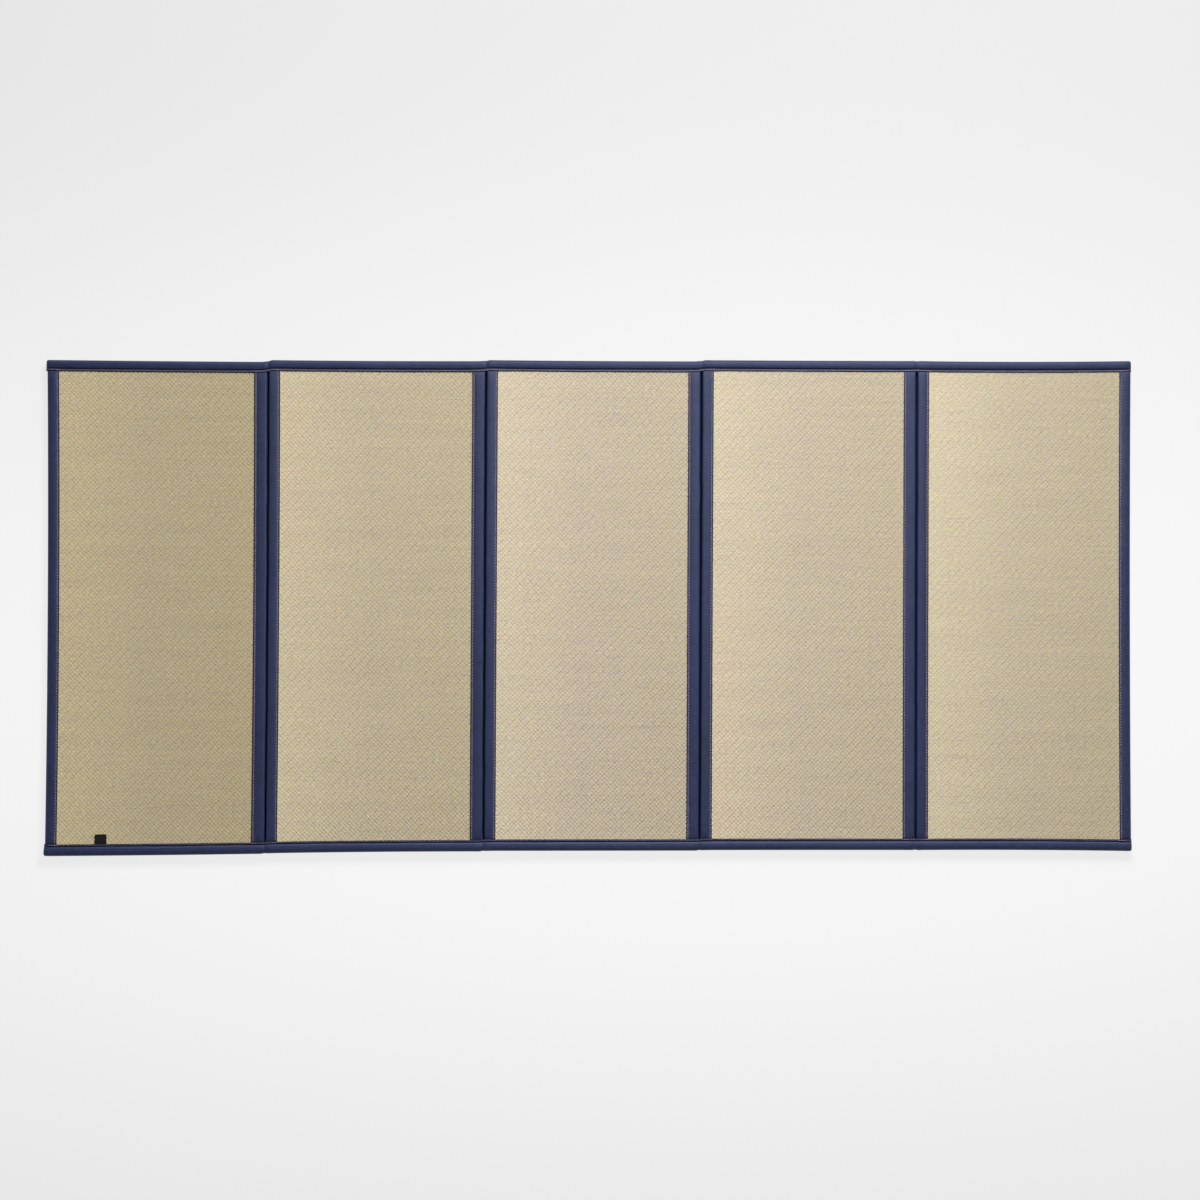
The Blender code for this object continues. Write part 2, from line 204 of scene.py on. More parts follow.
# The label, from the mat's left end and its front edge
LABEL_LEFT = 92.0 * MM
LABEL_WIDTH = 20.6 * MM
LABEL_NEAR = 19.4 * MM
LABEL_FAR = 38.2 * MM
LABEL_CURL = 0.5 * MM
LABEL_LIFT = 1.5 * MM
LABEL_SINK = 0.9 * MM
LABEL_THICKNESS = 0.8 * MM
LABEL_PARTS = 12

# Camera, as found from the photograph's outline
CAMERA_PLACE = (-0.0590, -0.0178, 3.518)
CAMERA_TURN_DEGREES = (0.484, -1.219, -0.067)
PHOTO_PIXELS = 1200
FOCAL_PIXELS = 1897.3
SENSOR = 36.0

# Studio: a softbox, its power in watts, and the strength of the walls' and the ceiling's light
SOFTBOX_PLACE = (0.52, 1.70, 1.65)
SOFTBOX_AIM = (0.66, 0.0, 0.0)
SOFTBOX_SIZE = (0.9, 0.7)
SOFTBOX_POWER = 14.3
WALL_LIGHT = 0.72
CEILING_LIGHT = 0.05
FLOOR_HALF_SIZE = 9.0

# Strength of the floor's own soft light in the middle and far out, as of a lit backdrop
FLOOR_GLOW = (0.82, 0.71)

# Name of the weave's own record of its dips: 1 in a deep one and -0.5 on a float's crest. From it the
# rush material paints shade into the dips and a highlight onto the crests
DIP_SHADE = "dip"

# Stalks lean to these shares of red, green and blue
GREY_TINT = (0.97, 1.0, 1.09, 1.0)
GOLD_TINT = (1.04, 1.0, 0.89, 1.0)
GREEN_TINT = (0.975, 1.02, 0.965, 1.0)
PINK_TINT = (1.025, 0.975, 1.035, 1.0)

# Each panel is faced from its own batch of rush: its shares of red, green and blue
PANEL_TONES = (
    (0.840, 0.840, 0.795),
    (0.880, 0.890, 0.915),
    (0.875, 0.885, 0.975),
    (0.840, 0.850, 0.920),
    (0.810, 0.825, 0.865),
)

# Over this distance from its edge on the rush, the binding cloth changes colour: from a painted
# shadow at the edge, through the greyer seam, to navy
SEAM_COLOUR_REACH = 8.0 * MM


def clamp(value, low, high):
    return max(low, min(high, value))


def smooth_step(value):
    part = clamp(value, 0.0, 1.0)
    return part * part * (3.0 - 2.0 * part)


def bump_at(value, width):
    """A soft hump of height 1, about as wide as twice the width."""
    return math.exp(-((value / width) ** 2))


def seam_x(number):
    """The left end is seam 0, the folds are 1 to 4 and the right end is 5."""
    return number * PANEL_PITCH - MAT_LENGTH / 2.0


def curve_through(first, middle, last, part):
    """A parabola through three values, at part 0, a half and 1."""
    return (
        first * (1.0 - part) * (1.0 - 2.0 * part)
        + middle * 4.0 * part * (1.0 - part)
        + last * part * (2.0 * part - 1.0)
    )


def panel_drift(number, x, across):
    """How far a panel's cloth lies to the back at x; across runs from front, 0, to back, 1."""
    back_left, back_middle, back_right, front_left, front_middle, front_right = PANEL_DRIFT[number]
    along = (x + MAT_LENGTH / 2.0) / PANEL_PITCH - number
    back = curve_through(back_left, back_middle, back_right, along)
    front = curve_through(front_left, front_middle, front_right, along)
    return MM * (front + (back - front) * across)


def lay_out(x, y):
    """Where a point of the true rectangle really lies."""
    across = y / MAT_WIDTH + 0.5
    seams_passed = (x + MAT_LENGTH / 2.0) / PANEL_PITCH
    panel = int(clamp(math.floor(seams_passed), 0, PANEL_COUNT - 1))

    left = curve_through(*SEAM_DRIFT[panel], 1.0 - across)
    right = curve_through(*SEAM_DRIFT[panel + 1], 1.0 - across)
    shift_x = MM * (left + (right - left) * (seams_passed - panel))

    nearest_fold = int(clamp(round(seams_passed), 1, PANEL_COUNT - 1))
    past_fold = x - seam_x(nearest_fold)
    if abs(past_fold) < STEP_REACH:
        before = panel_drift(nearest_fold - 1, x, across)
        after = panel_drift(nearest_fold, x, across)
        share = smooth_step(past_fold / (2.0 * STEP_REACH) + 0.5)
        shift_y = before + (after - before) * share
    else:
        shift_y = panel_drift(panel, x, across)
    return x + shift_x, y + shift_y


def unevenness(place, waves, number):
    """Smooth unevenness along a length, from one or two waves, different for each number."""
    return sum(
        amount * noise.noise(Vector((place / length, 7.3 * (number + own_number), 0.4)))
        for amount, length, own_number in waves
    )


def colour(hex_code):
    """An sRGB hex value as linear red, green, blue and alpha."""
    channels = []
    for start in (0, 2, 4):
        value = int(hex_code[start:start + 2], 16) / 255.0
        if value <= 0.04045:
            channels.append(value / 12.92)
        else:
            channels.append(((value + 0.055) / 1.055) ** 2.4)
    return (*channels, 1.0)


def length_property(name, about, size):
    return bpy.props.FloatProperty(name=name, description=about, default=size, unit="LENGTH")


def colour_property(name, about, hex_code):
    return bpy.props.FloatVectorProperty(
        name=name, description=about, size=4, subtype="COLOR", default=colour(hex_code),
    )


class TatamiSizes(bpy.types.PropertyGroup):
    """Sizes of the weave, the cloth and the stitches"""

    float_length: length_property(
        "Rush float", "Length of one float of rush, from dip to dip", 7.75 * MM,
    )
    row_height: length_property(
        "Rush row", "Height of one row of rush across the mat", 4.035 * MM,
    )
    weave_relief: bpy.props.FloatVectorProperty(
        name="Weave relief",
        description="How far a float rises over the mean face, for each panel from the left",
        size=PANEL_COUNT,
        default=(1.30 * MM, 1.42 * MM, 1.36 * MM, 1.10 * MM, 0.74 * MM),
    )
    stalk_width: length_property(
        "Rush stalk", "Width of one stalk, three of which lie in a row", 1.345 * MM,
    )
    stitch_pitch: length_property(
        "Stitch pitch", "Distance from one stitch to the next", 5.3 * MM,
    )
    stitch_length: length_property("Stitch length", "Length of thread that shows", 3.3 * MM)
    thread_thickness: length_property("Thread", "Thickness of the sewing thread", 0.8 * MM)
    yarn_pitch: length_property(
        "Cotton yarn",
        "Distance between yarns of the binding cloth, drawn about twice the real one",
        1.0 * MM,
    )


class TatamiColours(bpy.types.PropertyGroup):
    """Colours of the rush, the cloth, the thread and the stage"""

    rush_root: colour_property(
        "Rush, root end", "Colour of the stalks at their thick, pale end", "E5D5B0",
    )
    rush_middle: colour_property(
        "Rush, middle", "Colour of the stalks along most of their length", "D2C3A3",
    )
    rush_tip: colour_property(
        "Rush, tip", "Colour of the stalks towards their thin end", "CCBD9B",
    )
    rush_shade: colour_property(
        "Rush, shaded", "Purplish grey of the odd darker stalk", "B0A39A",
    )
    navy: colour_property("Binding cloth", "Navy of the cotton bindings", "282F4F")
    navy_worn: colour_property(
        "Binding cloth, rubbed", "Greyer purple of the cloth along the stitches", "463F57",
    )
    # Painted shadow along the binding's turned edge beside the rush
    navy_edge_shadow: colour_property(
        "Binding cloth, edge shadow", "Painted shadow: dark brownish navy along the turned edge beside the rush", "262531",
    )
    thread: colour_property("Thread", "Pinkish grey of the sewing thread", "A9A1B2")
    label: colour_property("Label", "Black of the woven label", "0E0D10")
    floor: colour_property("Floor", "Painted board of the floor, before its own glow", "5C5C5C")


def add_node(tree, kind, settings=None, inputs=None):
    """Add a node with its settings. An input takes a value, a socket to link from, or a node
    whose first output is meant."""
    node = tree.nodes.new(kind)
    for name, value in (settings or {}).items():
        setattr(node, name, value)
    for key, value in (inputs or {}).items():
        if isinstance(value, bpy.types.Node):
            value = value.outputs[0]
        if isinstance(value, bpy.types.NodeSocket):
            tree.links.new(value, node.inputs[key])
        else:
            node.inputs[key].default_value = value
    return node


def new_material(name):
    material = bpy.data.materials.new(name)
    material.use_nodes = True
    material.node_tree.nodes.clear()
    return material, material.node_tree


def end_material(material, tint, tone, bump, surface):
    """Give a material its colour times a tone, its bump and the rest of its surface.
    The bump is a strength, a distance and a height."""
    tree = material.node_tree
    toned = add_node(tree, "ShaderNodeVectorMath", {"operation": "SCALE"}, {0: tint, "Scale": tone})
    surface = {"Base Color": toned, **surface}
    if bump:
        inputs = dict(zip(("Strength", "Distance", "Height"), bump))
        surface["Normal"] = add_node(tree, "ShaderNodeBump", inputs=inputs)
    shader = add_node(tree, "ShaderNodeBsdfPrincipled", inputs=surface)
    add_node(tree, "ShaderNodeOutputMaterial", inputs={"Surface": shader})
    return material


def set_ramp(ramp, stops):
    """Give a colour ramp its stops, each a position and a colour."""
    ramp.elements.remove(ramp.elements[1])
    ramp.elements[0].position, ramp.elements[0].color = stops[0]
    for position, stop_colour in stops[1:]:
        ramp.elements.new(position).color = stop_colour


def mottled(tree, place, look, span, tones):
    """A soft noise, and the tone that it gives from the low to the high end of its span."""
    specks = add_node(tree, "ShaderNodeTexNoise", inputs={"Vector": place, **look})
    tone = add_node(tree, "ShaderNodeMapRange", inputs={
        "Value": specks, "From Min": span[0], "From Max": span[1],
        "To Min": tones[0], "To Max": tones[1],
    })
    return specks, tone


def rush_material(sizes, colours):
    """Dried and mud-washed igusa rush, woven: satin stalks, palest at their root end.
    It gives the eye a warm straw colour with fine streaks along the rows."""
    material, tree = new_material("woven_igusa_rush")
    place = add_node(tree, "ShaderNodeTexCoord").outputs["Object"]
    split = add_node(tree, "ShaderNodeSeparateXYZ", inputs={0: place})

    # Streaks: one stalk wide and a hand long, a row wide and longer, broad soft bands, single
    # floats, and two sets of tints. Columns: name, offset, scale, detail, roughness
    # The weave's record of its dips, for the painted shade and painted highlight further down
    streaks = {"dips": add_node(tree, "ShaderNodeAttribute", {"attribute_name": DIP_SHADE}).outputs["Fac"]}
    for name, offset, scale, detail, roughness in (
        ("stalks", (0.0, 0.0, 0.0), (14.0, 0.9 / sizes.stalk_width, 60.0), 2.0, 0.6),
        ("rows", (3.1, 8.7, 0.0), (5.0, 0.8 / sizes.row_height, 1.0), 1.0, 0.5),
        ("bands", (0.7, 2.9, 0.0), (2.5, 42.0, 1.0), 2.0, 0.5),
        ("floats", (5.2, 0.0, 0.0), (150.0, 420.0, 60.0), 1.0, 0.5),
        ("tints", (1.9, 4.4, 0.0), (75.0, 330.0, 1.0), 2.0, 0.7),
        ("blushes", (7.7, 1.3, 0.0), (60.0, 210.0, 1.0), 2.0, 0.7),
    ):
        scaled = add_node(tree, "ShaderNodeMapping", inputs={
            "Vector": place, "Location": offset, "Scale": scale,
        })
        streaks[name] = add_node(tree, "ShaderNodeTexNoise", inputs={
            "Vector": scaled, "Scale": 1.0, "Detail": detail, "Roughness": roughness,
        })

    # Root to tip, over each panel from its left to its right
    value = {**streaks, "x": split.outputs["X"], "y": split.outputs["Y"]}
    for name, operation, *terms in (
        ("panels passed", "MULTIPLY_ADD", "x", 1.0 / PANEL_PITCH, PANEL_COUNT / 2.0),
        ("along", "FRACT", "panels passed"),
        ("uneven along", "MULTIPLY_ADD", "rows", 0.30, "along"),
        ("mat part", "MULTIPLY", "panels passed", 1.0 / PANEL_COUNT),
        ("ripple", "MULTIPLY_ADD", "stalks", 1.2, 0.0),
        ("stalk turn", "MULTIPLY_ADD", "y", math.tau / sizes.stalk_width, "ripple"),
        ("ridges", "SINE", "stalk turn"),
        ("ridge height", "MULTIPLY_ADD", "ridges", 0.5, "stalks"),
    ):
        inputs = {slot: value.get(term, term) for slot, term in enumerate(terms)}
        value[name] = add_node(tree, "ShaderNodeMath", {"operation": operation}, inputs)
    growth = add_node(tree, "ShaderNodeValToRGB", inputs={0: value["uneven along"]})
    set_ramp(growth.color_ramp, (
        (0.20, colours.rush_root), (0.62, colours.rush_middle), (1.0, colours.rush_tip),
    ))

    # Shaded stalks, then stalks of other tints, then each panel's own batch
    shaded = add_node(tree, "ShaderNodeMapRange", inputs={
        "Value": streaks["stalks"], "From Min": 0.52, "From Max": 0.78, "To Max": 0.55,
    })
    tinted = add_node(
        tree, "ShaderNodeMix", {"data_type": "RGBA"},
        {0: shaded, 6: growth.outputs["Color"], 7: colours.rush_shade},
    ).outputs[2]
    tints = []
    for name, low_tint, high_tint in (
        ("tints", GREY_TINT, GOLD_TINT),
        ("blushes", GREEN_TINT, PINK_TINT),
    ):
        share = add_node(tree, "ShaderNodeMapRange", inputs={
            "Value": streaks[name], "From Min": 0.33, "From Max": 0.67,
        })
        tint = add_node(
            tree, "ShaderNodeMix", {"data_type": "RGBA"},
            {0: share, 6: low_tint, 7: high_tint},
        )
        tints.append(tint.outputs[2])
    batches = add_node(tree, "ShaderNodeValToRGB", inputs={0: value["mat part"]})
    batches.color_ramp.interpolation = "CONSTANT"
    set_ramp(batches.color_ramp, [
        (number / PANEL_COUNT, (*tone, 1.0)) for number, tone in enumerate(PANEL_TONES)
    ])
    for tint in (*tints, batches.outputs["Color"]):
        tinted = add_node(
            tree, "ShaderNodeVectorMath", {"operation": "MULTIPLY"}, {0: tinted, 1: tint},
        )

    # Lighter and darker places: the dips row is painted shade in the weave's dips and a painted
    # highlight on the floats' crests, the other rows are the rush's own streaks. Columns: streaks,
    # span of their values, tone at each end
    tone = 1.0
    for name, low, high, tone_at_low, tone_at_high in (
        ("floats", 0.30, 0.70, 0.86, 1.13),
        ("dips", -0.5, 1.0, 1.09, 0.70),
        ("rows", 0.25, 0.75, 0.955, 1.05),
        ("bands", 0.25, 0.75, 0.97, 1.03),
    ):
        part = add_node(tree, "ShaderNodeMapRange", inputs={
            "Value": streaks[name], "From Min": low, "From Max": high,
            "To Min": tone_at_low, "To Max": tone_at_high,
        })
        tone = add_node(
            tree, "ShaderNodeMath", {"operation": "MULTIPLY"}, {0: tone, 1: part},
        )

    # The bump is the stalks' ridges
    return end_material(
        material, tinted, tone, (0.35, 0.25 * MM, value["ridge height"]),
        {"Roughness": 0.58, "IOR": 1.45},
    )


def binding_material(sizes, colours):
    """Plain-woven cotton tape dyed navy, with a faint bluish sheen and puckered stitch lines. It
    gives the eye a dull blue with a fine grain, greyer purple seams and a painted shadow along its
    edge on the rush."""
    material, tree = new_material("navy_woven_cotton")
    place = add_node(tree, "ShaderNodeTexCoord").outputs["Object"]
    cloth = add_node(tree, "ShaderNodeUVMap", {"uv_map": "cloth"})
    split = add_node(tree, "ShaderNodeSeparateXYZ", inputs={0: cloth})
    mottle, mottle_tone = mottled(
        tree, place, {"Scale": 120.0, "Detail": 3.0, "Roughness": 0.65}, (0.28, 0.72), (0.80, 1.20),
    )
    _, cloud_tone = mottled(tree, place, {"Scale": 16.0, "Detail": 1.0}, (0.3, 0.7), (0.93, 1.07))

    # The stitch line: V counts metres in from the cloth's edge on the rush
    seam = add_node(tree, "ShaderNodeMapRange", {"interpolation_type": "SMOOTHSTEP"}, {
        "Value": split.outputs["Y"], "From Min": 5.6 * MM, "From Max": 4.0 * MM,
    })
    seam_place = add_node(tree, "ShaderNodeMapRange", inputs={
        "Value": split.outputs["Y"], "From Min": 0.0, "From Max": SEAM_COLOUR_REACH,
    })
    # From the edge on the rush inwards: a painted shadow along the turned edge, the greyer seam, then
    # navy
    seam_colours = add_node(tree, "ShaderNodeValToRGB", inputs={0: seam_place})
    set_ramp(seam_colours.color_ramp, [
        (from_edge * MM / SEAM_COLOUR_REACH, stop_colour) for from_edge, stop_colour in (
            (1.2, colours.navy_edge_shadow), (2.1, colours.navy_worn), (4.2, colours.navy_worn),
            (5.6, colours.navy),
        )
    ])

    # Yarns: warp and weft ridges, drawn at about twice their real pitch so that they show.
    # Each stitch draws the cloth down a little
    value = {
        "along": split.outputs["X"], "inwards": split.outputs["Y"], "seam": seam,
        "mottle": mottle, "mottle tone": mottle_tone, "cloud tone": cloud_tone,
    }
    for name, operation, *terms in (
        ("tone", "MULTIPLY", "mottle tone", "cloud tone"),
        ("warp turn", "MULTIPLY", "along", math.tau / sizes.yarn_pitch),
        ("weft turn", "MULTIPLY", "inwards", math.tau / sizes.yarn_pitch),
        ("warp", "SINE", "warp turn"),
        ("weft", "SINE", "weft turn"),
        ("yarns", "MULTIPLY", "warp", "weft"),
        ("stitch turn", "MULTIPLY", "along", math.tau / sizes.stitch_pitch),
        ("stitch wave", "COSINE", "stitch turn"),
        ("pucker", "MULTIPLY", "stitch wave", "seam"),
        ("stitched yarns", "MULTIPLY_ADD", "pucker", 2.0, "yarns"),
        ("height", "MULTIPLY_ADD", "mottle", 2.5, "stitched yarns"),
    ):
        inputs = {slot: value.get(term, term) for slot, term in enumerate(terms)}
        value[name] = add_node(tree, "ShaderNodeMath", {"operation": operation}, inputs)
    return end_material(
        material, seam_colours, value["tone"], (0.5, 0.12 * MM, value["height"]),
        {"Roughness": 0.50, "IOR": 1.51, "Specular Tint": (0.72, 0.80, 1.0, 1.0)},
    )


def thread_material(colours):
    """Spun polyester thread, dull with a slight sheen: pale dots along the dark cloth."""
    material, tree = new_material("spun_sewing_thread")
    place = add_node(tree, "ShaderNodeTexCoord").outputs["Object"]
    fibres, tone = mottled(tree, place, {"Scale": 900.0, "Detail": 2.0}, (0.3, 0.7), (0.72, 1.25))
    return end_material(
        material, colours.thread[:3], tone, (0.4, 0.1 * MM, fibres),
        {"Roughness": 0.6, "IOR": 1.5, "Sheen Weight": 0.1},
    )


def label_material(colours):
    """Polyester satin ribbon, woven black, dull from wear: a plain dark patch with fine ribs."""
    material, tree = new_material("black_satin_ribbon")
    place = add_node(tree, "ShaderNodeTexCoord").outputs["Object"]
    split = add_node(tree, "ShaderNodeSeparateXYZ", inputs={0: place})
    rib_turn = add_node(
        tree, "ShaderNodeMath", {"operation": "MULTIPLY"},
        {0: split.outputs["Y"], 1: math.tau / (0.8 * MM)},
    )
    ribs = add_node(tree, "ShaderNodeMath", {"operation": "SINE"}, {0: rib_turn})
    _, tone = mottled(tree, place, {"Scale": 350.0, "Detail": 2.0}, (0.35, 0.75), (0.8, 1.9))
    return end_material(
        material, colours.label[:3], tone, (0.3, 0.1 * MM, ribs), {"Roughness": 0.7, "IOR": 1.4},
    )


def floor_material(colours):
    """Matt painted board that glows by itself as a lit backdrop would: a plain pale floor with a
    painted pool of light, brightest in the middle.
    """
    material, tree = new_material("matt_painted_floor")
    place = add_node(tree, "ShaderNodeTexCoord").outputs["Object"]
    _, tone = mottled(tree, place, {"Scale": 1.5, "Detail": 1.0}, (0.3, 0.7), (0.99, 1.0))
    flattened = add_node(tree, "ShaderNodeMapping", inputs={
        "Vector": place, "Location": (0.0, 0.15, 0.0), "Scale": (0.35, 1.0, 1.0),
    })
    from_middle = add_node(tree, "ShaderNodeVectorMath", {"operation": "LENGTH"}, {0: flattened})
    glow = add_node(tree, "ShaderNodeMapRange", {"interpolation_type": "SMOOTHSTEP"}, {
        "Value": from_middle.outputs["Value"], "From Min": 0.2, "From Max": 1.25,
        "To Min": FLOOR_GLOW[0], "To Max": FLOOR_GLOW[1],
    })
    return end_material(material, colours.floor[:3], tone, None, {
        "Roughness": 0.95, "IOR": 1.3,
        "Emission Color": (1.0, 1.0, 1.0, 1.0), "Emission Strength": glow,
    })


def navy_cloth(context):
    """The bindings' material, made the first time that a piece asks for it."""
    made = bpy.data.materials.get("navy_woven_cotton")
    return made or binding_material(context.scene.tatami_sizes, context.scene.tatami_colours)


def new_object(name, data):
    """An object of the scene, from its mesh, curves, lamp or lens."""
    item = bpy.data.objects.new(name, data)
    bpy.context.scene.collection.objects.link(item)
    return item


def link_piece(name, mesh, material):
    mesh.name = name
    mesh.materials.clear()
    mesh.materials.append(material)
    return new_object(name, mesh)


def evaluated_mesh(source):
    """The plain mesh of an object with its modifiers, which is then removed."""
    depsgraph = bpy.context.evaluated_depsgraph_get()
    mesh = bpy.data.meshes.new_from_object(source.evaluated_get(depsgraph))
    old = source.data
    bpy.data.objects.remove(source)
    if isinstance(old, bpy.types.Mesh):
        bpy.data.meshes.remove(old)
    return mesh


def set_inputs(modifier, values):
    """Set a Geometry Nodes modifier's inputs, each by its socket's identifier."""
    for item in modifier.node_group.interface.items_tree:
        if item.item_type == "SOCKET" and item.in_out == "INPUT" and item.name in values:
            modifier[item.identifier] = values[item.name]


def new_tree(name, inputs):
    """A Geometry Nodes tree, and its input node with named inputs, listed by kind."""
    tree = bpy.data.node_groups.new(name, "GeometryNodeTree")
    for kind, *labels in inputs:
        for label in labels:
            tree.interface.new_socket(name=label, in_out="INPUT", socket_type=f"NodeSocket{kind}")
    tree.interface.new_socket(name="Geometry", in_out="OUTPUT", socket_type="NodeSocketGeometry")
    return tree, add_node(tree, "NodeGroupInput")


def end_tree(tree, geometry, material):
    """Realize the instances, set the material and give the result out."""
    plain = add_node(tree, "GeometryNodeRealizeInstances", inputs={"Geometry": geometry})
    dressed = add_node(
        tree, "GeometryNodeSetMaterial",
        inputs={"Geometry": plain, "Material": material},
    )
    add_node(tree, "NodeGroupOutput", inputs={"Geometry": dressed})


def weave_tree():
    """A face of woven rush: rows of floats, each row set half a float on from the last.
    Every second dip is deeper, as where two warp strings lie close together."""
    tree, given = new_tree("rush_weave", (
        ("Float", "Width", "Length", "Float length", "Row height", "Relief"),
        ("Float", "Deep dips", "Between rows", "Unevenness"),
        ("Int", "Columns", "Rows", "Seed"),
        ("Vector", "Centre"),
        ("Material", "Rush"),
    ))
    give = given.outputs
    grid = add_node(tree, "GeometryNodeMeshGrid", inputs={
        "Size X": give["Width"], "Size Y": give["Length"],
        "Vertices X": give["Columns"], "Vertices Y": give["Rows"],
    })
    placed = add_node(tree, "GeometryNodeSetPosition", inputs={
        "Geometry": grid.outputs["Mesh"], "Offset": give["Centre"],
    })
    place = add_node(tree, "GeometryNodeInputPosition")
    split = add_node(tree, "ShaderNodeSeparateXYZ", inputs={0: place})
    value = {socket.name: socket for socket in give}
    value.update({"x": split.outputs["X"], "y": split.outputs["Y"]})
    for name, operation, *terms in (
        ("rows passed", "DIVIDE", "y", "Row height"),
        ("row", "FLOOR", "rows passed"),
        ("row turn", "MULTIPLY", "rows passed", math.pi),
        ("row sine", "SINE", "row turn"),
        ("on row", "ABSOLUTE", "row sine"),
        ("floats passed", "DIVIDE", "x", "Float length"),
        ("along", "MULTIPLY_ADD", "row", -0.5, "floats passed"),
        ("along turn", "MULTIPLY", "along", math.tau),
        ("swell", "COSINE", "along turn"),
        ("pair turn", "MULTIPLY", "along", math.pi),
        ("pair", "COSINE", "pair turn"),
        ("dips", "MULTIPLY_ADD", "pair", "Deep dips", "swell"),
        ("float number", "FLOOR", "along"),
        ("seed place", "MULTIPLY", "Seed", 3.7),
    ):
        inputs = {slot: value.get(term, term) for slot, term in enumerate(terms)}
        value[name] = add_node(tree, "ShaderNodeMath", {"operation": operation}, inputs)

    # No two floats are alike: each is a little fuller or flatter than the next. Rows wander a
    # little, and the face has soft rises
    float_name = add_node(tree, "ShaderNodeCombineXYZ", inputs={
        "X": value["float number"], "Y": value["row"], "Z": give["Seed"],
    })
    chance = add_node(tree, "ShaderNodeTexWhiteNoise", inputs={"Vector": float_name})
    wander = add_node(
        tree, "ShaderNodeTexNoise", {"noise_dimensions": "4D"},
        {"Vector": place, "W": value["seed place"], "Scale": 22.0, "Detail": 1.0},
    )
    wander_split = add_node(tree, "ShaderNodeSeparateXYZ", inputs={0: wander.outputs["Color"]})
    for name, source, low, high in (
        ("fullness", chance.outputs["Value"], 0.75, 1.25),
        ("sideways", wander_split.outputs["X"], -0.9 * MM, 0.9 * MM),
        ("upwards", wander_split.outputs["Y"], -0.5, 0.5),
    ):
        value[name] = add_node(tree, "ShaderNodeMapRange", inputs={
            "Value": source, "To Min": low, "To Max": high,
        })
    for name, operation, *terms in (
        ("shape", "MULTIPLY", "dips", "fullness"),
        ("crest", "MULTIPLY", "shape", "on row"),
        ("between", "MULTIPLY_ADD", "on row", -1.0, 1.0),
        ("below", "MULTIPLY_ADD", "between", "Between rows", "crest"),
        ("depth", "MULTIPLY", "below", "Relief"),
        ("height", "MULTIPLY", "depth", -1.0),
        ("rise", "MULTIPLY_ADD", "upwards", "Unevenness", "height"),
        ("half pair", "MULTIPLY_ADD", "pair", 0.5, 0.5),
        ("weighted", "MULTIPLY", "half pair", "swell"),
        ("dip", "MULTIPLY", "weighted", "on row"),
    ):
        inputs = {slot: value.get(term, term) for slot, term in enumerate(terms)}
        value[name] = add_node(tree, "ShaderNodeMath", {"operation": operation}, inputs)
    # Record the dips; from this the rush material paints shade into them and a highlight onto the
    # crests
    marked = add_node(
        tree, "GeometryNodeStoreNamedAttribute", {"data_type": "FLOAT", "domain": "POINT"},
        {"Geometry": placed, "Name": DIP_SHADE, "Value": value["dip"]},
    )
    offset = add_node(tree, "ShaderNodeCombineXYZ", inputs={
        "Y": value["sideways"], "Z": value["rise"],
    })
    woven = add_node(tree, "GeometryNodeSetPosition", inputs={
        "Geometry": marked, "Offset": offset,
    })
    smooth = add_node(tree, "GeometryNodeSetShadeSmooth", inputs={
        "Geometry": woven, "Shade Smooth": True,
    })
    end_tree(tree, smooth, give["Rush"])
    return tree


def binding_width(seam, side):
    """Width of the end or fold binding on one side of a seam."""
    if seam in (0, PANEL_COUNT):
        return END_BINDING_WIDTH
    return FOLD_BINDING_WIDTH["right" if side > 0 else "left"]


def press_face(mesh, low, high):
    """Press the woven face down where its edge runs under the bindings."""
    for vert in mesh.vertices:
        inside = min(vert.co.x - low[0], high[0] - vert.co.x, vert.co.y - low[1], high[1] - vert.co.y)
        if inside < FACE_PRESS_REACH:
            share = smooth_step(inside / FACE_PRESS_REACH)
            vert.co.z = FACE_PRESSED + (vert.co.z - FACE_PRESSED) * share


def thin_ring(bm, verts, low, high):
    """Merge a rectangular ring's vertices to every eighth one; its corners stay."""
    target = {}
    for axis in (0, 1):
        for side in (low[axis], high[axis]):
            line = [vert for vert in verts if abs(vert.co[axis] - side) < SAME_PLACE]
            line.sort(key=lambda vert: vert.co[1 - axis])
            for index, vert in enumerate(line[:-1]):
                kept = line[index - index % RING_KEEPS_EVERY]
                if kept is not vert:
                    target[vert] = kept
    bmesh.ops.weld_verts(bm, targetmap=target)
    return [vert for vert in verts if vert.is_valid]


